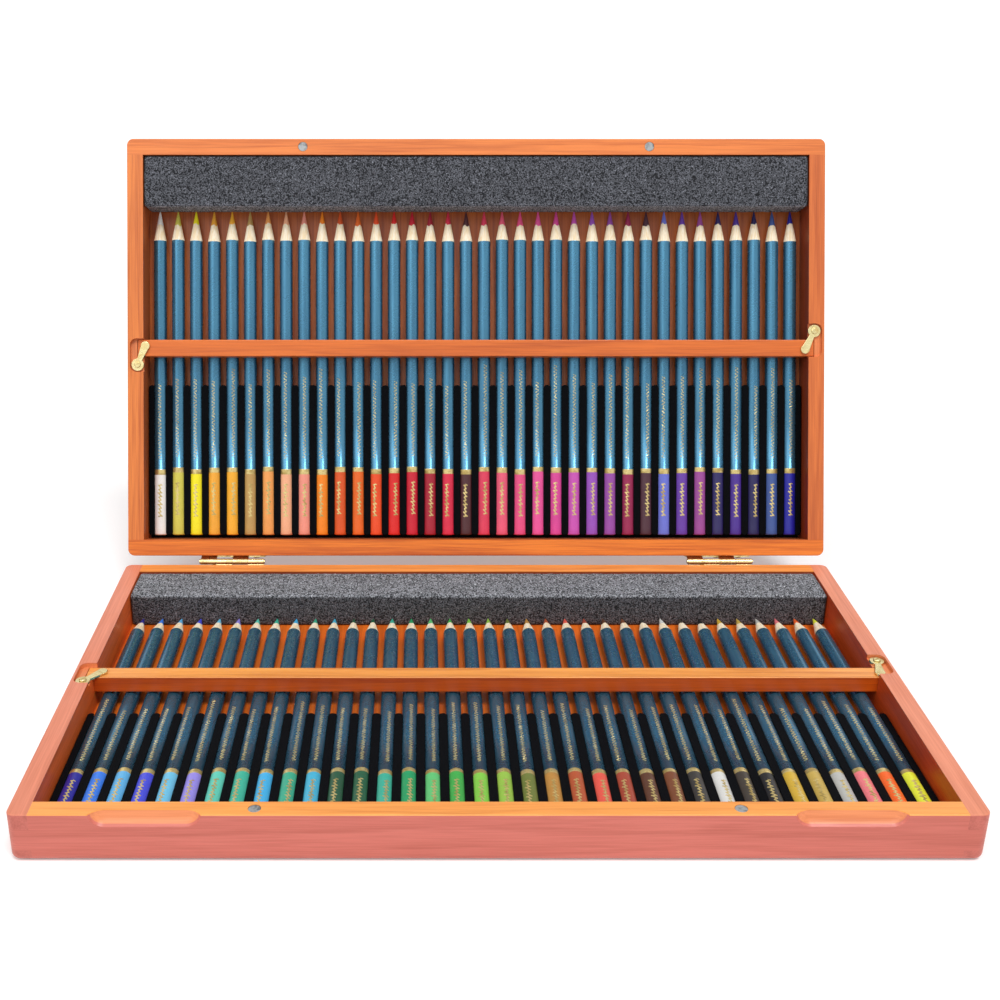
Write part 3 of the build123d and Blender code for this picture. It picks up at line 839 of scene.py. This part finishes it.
@dataclass(frozen=True)
class Pencil:
    """One pencil of a row: its colour, where it lies, and its small differences from the others."""

    name: str
    shade: str
    x: float
    z: float
    tip_y: float
    form: PencilForm
    roll: float
    dip_shift: float
    ring_stretch: float
    cone_stretch: float
    bare_stretch: float
    stroke_count: int

    def profile(self) -> tuple[np.ndarray, np.ndarray, np.ndarray]:
        """The outline from point to end.

        The point is a small round. The cone's radius is the point's plus its widening times the
        share of its length. The ring and the dip stand a little proud of the paint, the dip widens
        with the fourth power of its own length, and the end is a quarter round.

        Returns:
            Distances from the tip and radii of each ring, and the part between it and the last.
        """
        form = self.form
        cone = form.cone_length * self.cone_stretch
        bare = (form.lead_radius - form.point_radius) / form.slope() * self.bare_stretch

        def on_cone(distance: float, part: Part) -> tuple:
            return distance, form.point_radius + form.widening() * distance / cone, part

        steps = [(form.point_radius * d, form.point_radius * r, Part.LEAD)
                 for d, r in ((0.06, 0.45), (0.36, 0.85), (1.05, 1.0))]
        steps += [on_cone(bare * s, Part.LEAD) for s in (0.35, 0.7, 1.0)]
        steps += [on_cone(bare + (cone - bare) * s, Part.WOOD) for s in (0.004, 0.3, 0.6, 0.85, 1.0)]
        ring_start = form.ring_start + self.dip_shift
        ring = form.ring_length * self.ring_stretch
        painted, lifted = form.radius + form.paint, form.radius + form.ring_lift
        dipped = form.radius + form.dip_lift
        steps += [(cone + 0.03, painted, Part.PAINT)]
        steps += [(cone + 0.2 + (ring_start - cone - 0.2) * s, painted, Part.PAINT)
                  for s in np.linspace(0, 1, 6)]
        steps += [(ring_start + ring * s, lifted, Part.RING) for s in (0.01, 0.06, 0.5, 0.94)]
        dip_start = ring_start + ring
        dip_length = form.length - form.end_round - dip_start
        steps += [(dip_start + dip_length * s, dipped + form.dip_flare * s ** 4, Part.CAP)
                  for s in (0.0, 0.01, 0.3, 0.6, 0.8, 0.92, 1.0)]
        widest = dipped + form.dip_flare
        steps += [(form.length - form.end_round * (1 - math.sin(angle)),
                   widest - form.end_round * (1 - math.cos(angle)), Part.CAP)
                  for angle in np.radians((25.0, 50.0, 75.0, 90.0))]
        steps += [(form.length, 0.3 * widest, Part.CAP)]
        distances, radii, parts = (np.array(column) for column in zip(*steps))
        return distances, radii, parts

    def stamps(self, first: int) -> tuple[np.ndarray, list]:
        """The foil on the barrel and on the dip.

        Args:
            first: The number that its first point has in the piece.

        Returns:
            Its points, as (x, distance from the tip, z), and its faces, turned outwards.
        """
        form = self.form
        run = Stamp(form.radius + form.paint).strokes(form.strokes_end + self.dip_shift, self.stroke_count)
        line = Stamp(form.radius + form.dip_lift + 0.02).flourish(
            form.ring_start + form.ring_length + form.line_gap + self.dip_shift, form.line_length)
        triangles, quads = run[1] + first, line[1] + first + len(run[0])
        faces = triangles[:, ::-1].tolist() + quads[:, ::-1].tolist()
        return np.concatenate((run[0], line[0])), faces

    def build(self, tray: TrayFrame, finishes: tuple) -> bpy.types.Object:
        """Makes the pencil in its place.

        Args:
            tray: The tray that it lies in.
            finishes: Its finishes, in the order of its slots.

        Returns:
            The piece.
        """
        distances, radii, parts = self.profile()
        form, rows, columns = self.form, len(distances), self.form.columns
        turn = 2 * np.pi * np.arange(columns) / columns
        large, small = form.scallops
        wave = large * np.sin(3 * turn + self.roll * 9) + small * np.sin(5 * turn + self.roll * 31)
        lead_end = np.flatnonzero(parts == Part.LEAD)[-1]
        away, out = (np.repeat(values[:, None], columns, axis=1) for values in (distances, radii))
        away[lead_end:lead_end + 2] += wave
        out[lead_end:lead_end + 2] += wave * form.slope()
        body = np.stack((out * np.cos(turn), away, out * np.sin(turn)), axis=-1).reshape(-1, 3)
        poles = np.array(((0, 0, 0), (0, form.length, 0)))
        stamps, foil = self.stamps(len(body) + len(poles))
        points = np.concatenate((body, poles, stamps))
        tip = pole_faces(0, columns, len(body), False)
        end = pole_faces((rows - 1) * columns, columns, len(body) + 1, True)
        faces = ring_faces(rows, columns).tolist() + tip.tolist() + end.tolist() + foil
        slots = np.concatenate((np.repeat(parts[1:], columns), np.full(columns, Part.LEAD),
                                np.full(columns, Part.CAP), np.full(len(foil), Part.FOIL)))
        cosine, sine = math.cos(self.roll), math.sin(self.roll)
        rolled = np.stack((self.x + points[:, 0] * cosine + points[:, 2] * sine, self.tip_y - points[:, 1],
                           self.z + points[:, 2] * cosine - points[:, 0] * sine), axis=-1)
        piece = new_piece(self.name, tray.place(rolled), faces, [f.material(tray) for f in finishes], slots,
                          slots != Part.FOIL)
        shades = piece.data.attributes.new(SHADE, "FLOAT_COLOR", "POINT")
        shades.data.foreach_set("color", np.tile(colour(self.shade), len(points)))
        return piece


@dataclass
class PencilRow:
    """The pencils of one tray, side by side, each a piece of its own.

    The changes are the bounds of the dip's shift and of the stretch of its ring, cone and bare lead.
    """

    tray: TrayFrame
    sizes: CaseSizes
    shades: tuple
    seed: int
    largest_roll: float = 14.0
    changes: tuple = ((-0.8, 0.8), (0.85, 1.1), (0.97, 1.03), (0.92, 1.12))
    stroke_counts: tuple = (42, 54)

    def finishes(self) -> tuple:
        """The finishes of a pencil's slots, in order."""
        return (PencilShade("pencil_lead", roughness=0.5, mottle=0.25, relief_mm=0.05),
                SharpenedWood("sharpened_wood"), BarrelLacquer("barrel_lacquer"), GoldFoil("gold_ring"),
                PencilShade("dipped_cap", roughness=0.42, gloss=0.08), GoldFoil("gold_foil"))

    def pencils(self) -> list[Pencil]:
        """The row's pencils, evenly spaced, with small seeded differences between them."""
        count, sizes = len(self.shades), self.sizes
        draw = np.random.default_rng(self.seed)
        form = PencilForm(sizes.pencil_radius, sizes.lead_radius, sizes.tip_y - sizes.tail_y)
        places = np.linspace(sizes.row_low + form.radius, sizes.row_high - form.radius, count)
        rolls = np.radians(draw.uniform(-self.largest_roll, self.largest_roll, count)).tolist()
        changes = [draw.uniform(low, high, count).tolist() for low, high in self.changes]
        differences = zip(rolls, *changes, draw.integers(*self.stroke_counts, count).tolist())
        side = self.tray.side.value
        return [Pencil(f"{side}_pencil_{k + 1:02d}_{name.replace(' ', '_')}", code, float(places[k]),
                       sizes.pencil_z, sizes.tip_y, form, *changed)
                for k, ((name, code), changed) in enumerate(zip(self.shades, differences))]

    def build(self) -> None:
        """Makes every pencil, rides it on its tray and lets it stand for the plain ones."""
        side = self.tray.side.value
        finishes = self.finishes()
        for pencil in self.pencils():
            piece = pencil.build(self.tray, finishes)
            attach(piece, side)
            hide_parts(f"{side}_pencil_barrels", f"{side}_pencil_leads")
            LOG.info("%s: %d faces", piece.name, len(piece.data.polygons))


# ---------------------------------------------------------------- foam


# How strong the painted highlight is along the cut face next to the points, and the tones of that face and of
# the sides: lit and shaded copies of one grey, painted light that differs by tray.
FOAM_LIT_AND_SHADED_TONES = {Side.BASE: (0.0, "#9b9da3", "#66676c"), Side.LID: (0.45, "#63656c", "#9c9da2")}


@dataclass
class FoamStrip:
    """The foam along one wall: a block with soft edges, a slight crown and a cut, open-celled face."""

    tray: TrayFrame
    sizes: CaseSizes
    seed: int
    edge_round: float = 1.4
    spacing: float = 1.1
    crown: float = 0.35
    roughness: float = 0.16

    def half(self) -> np.ndarray:
        """Half of the strip's length, width and height."""
        return (self.sizes.foam_high - self.sizes.foam_low) / 2

    def section(self, drawn_in: float) -> np.ndarray:
        """A rounded rectangle about (0, 0): each corner a quarter circle, each side in even steps.

        Args:
            drawn_in: How far its sides lie within the strip's own.

        Returns:
            Its points, shape (columns, 2), anticlockwise from +Y.
        """
        counts = [max(2, round(2 * half / self.spacing)) for half in self.half()[1:]]
        radius = max(self.edge_round - drawn_in, 0.05)
        straight = self.half()[1:] - drawn_in - radius
        arc = np.radians(np.linspace(0, 90, 5))
        parts = []
        for quarter, signs in enumerate(((1, 1), (-1, 1), (-1, -1), (1, -1))):
            turn = arc + quarter * math.pi / 2
            corner = straight * signs + radius * np.stack((np.cos(turn), np.sin(turn)), axis=-1)
            across = quarter % 2
            far_end = corner[-1] * ((-1, 1), (1, -1))[across]
            share = np.linspace(0, 1, counts[across], endpoint=False)[:, None]
            parts += [corner[:-1], corner[-1] * (1 - share) + far_end * share]
        return np.concatenate(parts)

    def stations(self) -> list[tuple[float, float, float]]:
        """Where the sections lie along X: a disc at each end, a quarter circle inwards, and even steps.

        Returns:
            The place, how far the section is drawn in, and its scale, from -X to +X.
        """
        half_x = self.half()[0]
        rounds = np.radians(np.linspace(0, 90, 5))
        end_x = half_x - self.edge_round * (1 - np.sin(rounds))
        inset = self.edge_round * (1 - np.cos(rounds))
        ends = [(-half_x, self.edge_round, scale) for scale in (0.15, 0.4, 0.7, 0.9)]
        ends += [(-x, drawn_in, 1.0) for x, drawn_in in zip(end_x[::-1], inset[::-1])]
        middle = [(x, 0.0, 1.0) for x in np.arange(-end_x[0], end_x[0], self.spacing)]
        return ends[:-1] + middle + [(-x, drawn_in, scale) for x, drawn_in, scale in ends[::-1]]

    def build(self) -> None:
        """Makes the strip: rounded sections along X, drawn in at the ends as a quarter circle.

        A crown of cos(pi y / width) lifts the upper face, and a seeded roughness moves each point
        of a whole section out or in from the section's middle.
        """
        low, high = self.sizes.foam_low, self.sizes.foam_high
        half_x, half_y, _ = self.half()
        stations = self.stations()
        outlines = np.array([self.section(drawn_in) * scale for _, drawn_in, scale in stations])
        rows, columns = outlines.shape[:2]
        upper = outlines[..., 1] > 0
        outlines[..., 1] += self.crown * np.cos(np.pi * outlines[..., 0] / (2 * half_y)) * upper
        draw = np.random.default_rng(self.seed)
        bumps = draw.normal(0.0, self.roughness / 2, (rows, columns, 1)).clip(-self.roughness, self.roughness)
        places, _, scales = (np.array(column)[:, None, None] for column in zip(*stations))
        reach = np.linalg.norm(outlines, axis=-1, keepdims=True)
        outlines += (scales >= 1.0) * bumps * outlines / reach
        body = np.concatenate((np.broadcast_to(places, (rows, columns, 1)), outlines), axis=-1).reshape(-1, 3)
        points = np.concatenate((body, ((-half_x, 0, 0), (half_x, 0, 0)))) + (low + high) / 2
        first = pole_faces(0, columns, len(body), False)
        last = pole_faces((rows - 1) * columns, columns, len(body) + 1, True)
        faces = ring_faces(rows, columns).tolist() + first.tolist() + last.tolist()
        side = self.tray.side
        finish = OpenFoam("open_foam", float(high[2]), float(low[1]), *FOAM_LIT_AND_SHADED_TONES[side])
        piece = new_piece(f"{side.value}_foam", self.tray.place(points), faces, [finish.material(self.tray)],
                          np.zeros(len(faces)))
        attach(piece, side.value)
        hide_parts(f"{side.value}_foam_strip")
        LOG.info("%s: %d faces", piece.name, len(faces))


# ---------------------------------------------------------------- the pieces that the frame shapes


# The outside faces' tone: the stained wood made pinkish by a painted reflection of the pale floor.
OUTER_STAIN_AND_REFLECTION = "#d87465"
CUT_STAIN = {Side.BASE: "#ee925e", Side.LID: "#e8884f"}


@dataclass(frozen=True)
class StainAndLight:
    """The staining of one wooden piece at the tray's mouth and on its faces inside, with painted light: the
    mouth tone lighter where light falls, the inside tone painted shade.
    """

    node: str
    wood: str
    mouth: str
    shaded_inner: str
    seed: float
    contrast: float = 0.6

    def finish(self, side: Side, sizes: CaseSizes) -> StainedWoodAndLight:
        """Its finish in a tray. Side walls and panels have their fibres along Y."""
        grain = Grain.ALONG_Y if self.wood in ("left", "right", "panel") else Grain.ALONG_X
        mouth_z = sizes.bar_top if self.wood == "bar" else sizes.height
        return StainedWoodAndLight(f"{side.value}_{self.wood}_wood", sizes, self.mouth, OUTER_STAIN_AND_REFLECTION, self.shaded_inner,
                           CUT_STAIN[side], grain, mouth_z, self.contrast, self.seed)


# Painted light: each mouth tone is lighter where light falls and each inside tone darker as painted shade;
# the left and right walls differ by where the light comes from, the two trays' sets differ by how light falls
# on each, and the lid's panel between the pencils is darker as painted shade.
STAINS_AND_LIGHT = {
    Side.BASE: (StainAndLight("front_wall", "front", "#ffa852", "#a8431a", 1.0, 0.4),
                StainAndLight("rear_wall", "rear", "#ffa350", "#a8431a", 2.0),
                StainAndLight("left_wall", "left", "#e88c6c", "#ff7630", 3.0, 0.4),
                StainAndLight("right_wall", "right", "#ec9270", "#d14d19", 4.0, 0.4),
                StainAndLight("floor_panel", "panel", "#ee7420", "#ee7420", 5.0),
                StainAndLight("retaining_bar", "bar", "#ffac55", "#dc5c0c", 6.0)),
    Side.LID: (StainAndLight("front_wall", "front", "#ee863f", "#b05526", 7.0),
               StainAndLight("rear_wall", "rear", "#f48426", "#e07a3a", 8.0, 0.8),
               StainAndLight("left_wall", "left", "#e8833a", "#c2652f", 9.0),
               StainAndLight("right_wall", "right", "#de7636", "#963c18", 10.0),
               StainAndLight("panel", "panel", "#bd6120", "#bd6120", 11.0, 0.8),
               StainAndLight("retaining_bar", "bar", "#e27328", "#c05f28", 12.0))}


@dataclass
class Tray:
    """The wooden tray and its fittings, which keep the frame's shapes and take their finishes here."""

    frame: TrayFrame
    sizes: CaseSizes

    def dress(self, nodes: dict) -> None:
        """Gives every node of this tray its finish.

        Args:
            nodes: The frame's objects by name.
        """
        side = self.frame.side
        brass, magnet, plastic = PolishedBrass("brass"), PlatedMagnet("magnet"), FormedPlastic("formed_tray")
        finishes = {stain_and_light.node: stain_and_light.finish(side, self.sizes) for stain_and_light in STAINS_AND_LIGHT[side]}
        finishes |= {"button_screws": brass, "hinge_leaves": brass, "hinge_screws": brass,
                     "left_button": brass, "right_button": brass, "magnets": magnet, "pencil_tray": plastic}
        for name, finish in finishes.items():
            self.coat(nodes[f"{side.value}_{name}"], finish)

    def coat(self, node: bpy.types.Object, finish: Finish) -> None:
        """Gives one node its finish."""
        node.data.materials.clear()
        node.data.materials.append(finish.material(self.frame))
        LOG.info("%s: %s", node.name, finish.name)


# ---------------------------------------------------------------- stage


@dataclass(frozen=True)
class PhotoCamera:
    """The photograph's view, fitted to the corners of the two trays in its 1000 by 1000 pixels."""

    place: tuple = (-0.02889, -0.52751, 0.32040)
    pitch_down: float = 22.24
    focal_px: float = 1313.5
    axis_x_px: float = 422.3
    image_px: float = 1000.0
    sensor_mm: float = 36.0

    def build(self) -> None:
        """Makes the camera. Its shift puts the lens axis left of the picture's middle."""
        data = bpy.data.cameras.new("photo_camera")
        data.sensor_width = self.sensor_mm
        data.lens = self.focal_px * self.sensor_mm / self.image_px
        data.shift_x = (self.image_px / 2 - self.axis_x_px) / self.image_px
        data.clip_start, data.clip_end = 0.01, 100.0
        camera = bpy.data.objects.new("photo_camera", data)
        camera.location = self.place
        camera.rotation_euler = (math.radians(90 - self.pitch_down), 0, 0)
        bpy.context.scene.collection.objects.link(camera)
        bpy.context.scene.camera = camera


@dataclass(frozen=True)
class Lamp:
    """A broad, soft lamp at a direction from the case."""

    name: str
    azimuth: float
    elevation: float
    strength: float
    width: float

    def build(self) -> None:
        """Makes the lamp as a sun of a wide angle that shines from its direction."""
        data = bpy.data.lights.new(self.name, "SUN")
        data.energy, data.angle = self.strength, math.radians(self.width)
        lamp = bpy.data.objects.new(self.name, data)
        lamp.rotation_euler = (math.radians(90 - self.elevation), 0, math.radians(self.azimuth))
        bpy.context.scene.collection.objects.link(lamp)


@dataclass(frozen=True)
class Studio:
    """A pale floor, a white surround and soft light at a plain level."""

    floor_size: float = 60.0
    floor_drop: float = 0.0002
    ambient: float = 0.45
    floor_lift: float = 0.17
    lamps: tuple = (Lamp("key_lamp", 28.0, 66.0, 1.5, 22.0), Lamp("fill_lamp", -38.0, 50.0, 0.9, 50.0))

    def floor(self) -> None:
        """A broad floor just under the case, lifted to white where nothing shades it."""
        half = self.floor_size / 2
        points = np.array(((-half, -half), (half, -half), (half, half), (-half, half)))
        points = np.column_stack((points, np.full(4, -self.floor_drop)))
        material = bpy.data.materials.new("pale_floor")
        material.use_nodes = True
        graph = Graph(material.node_tree)
        shader = material.node_tree.nodes["Principled BSDF"]
        shader.inputs["Base Color"].default_value = (0.92, 0.92, 0.92, 1)
        shader.inputs["Roughness"].default_value = 0.9
        shader.inputs["Specular IOR Level"].default_value = 0.0
        shader.inputs["Emission Color"].default_value = (1, 1, 1, 1)
        seen = graph.add("ShaderNodeLightPath").outputs["Is Camera Ray"]
        graph.feed(shader.inputs["Emission Strength"], graph.maths("MULTIPLY", seen, self.floor_lift))
        floor = new_piece("floor", points, [(0, 1, 2, 3)], [material], np.zeros(1), smooth=False)

    def world(self) -> None:
        """White to the eye, to gloss and through glass, and a plain ambient level to the rest."""
        world = bpy.data.worlds.new("studio")
        world.use_nodes = True
        bpy.context.scene.world = world
        graph = Graph(world.node_tree)
        path = graph.add("ShaderNodeLightPath").outputs
        shown = graph.maths("ADD", path["Is Camera Ray"], path["Is Glossy Ray"])
        shown = graph.maths("ADD", shown, path["Is Transmission Ray"], clamp=True)
        background = world.node_tree.nodes["Background"]
        background.inputs["Color"].default_value = (1, 1, 1, 1)
        level = graph.maths("MULTIPLY_ADD", shown, 1 - self.ambient, self.ambient)
        graph.feed(background.inputs["Strength"], level)

    def build(self) -> None:
        """Makes the floor, the surround, the lamps and the plain view."""
        self.floor()
        self.world()
        for lamp in self.lamps:
            lamp.build()
        bpy.context.scene.view_settings.view_transform = "Standard"


def main() -> None:
    """Builds the camera, both trays, their foam and their pencils, and the studio."""
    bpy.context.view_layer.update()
    sizes = CaseSizes.from_frame()
    fold = next(joint for joint in frame["joints"] if joint["name"] == "lid_fold")
    hinge, angle = Vector(fold["pos_m"]), math.radians(max(fold["range_deg"]))
    base, lid = TrayFrame(Side.BASE, hinge, angle), TrayFrame(Side.LID, hinge, angle)
    PhotoCamera().build()
    Studio().build()
    nodes = frame["nodes"]
    for tray in (base, lid):
        Tray(tray, sizes).dress(nodes)
    Tray(base, sizes).coat(nodes["hinge_pins"], PolishedBrass("brass"))
    FoamStrip(base, sizes, seed=3).build()
    FoamStrip(lid, sizes, seed=4).build()
    PencilRow(base, sizes, BASE_ROW, seed=5).build()
    PencilRow(lid, sizes, LID_ROW, seed=6).build()


if __name__ == "__main__":
    logging.basicConfig(level=logging.INFO, format="%(name)s %(message)s")
    main()
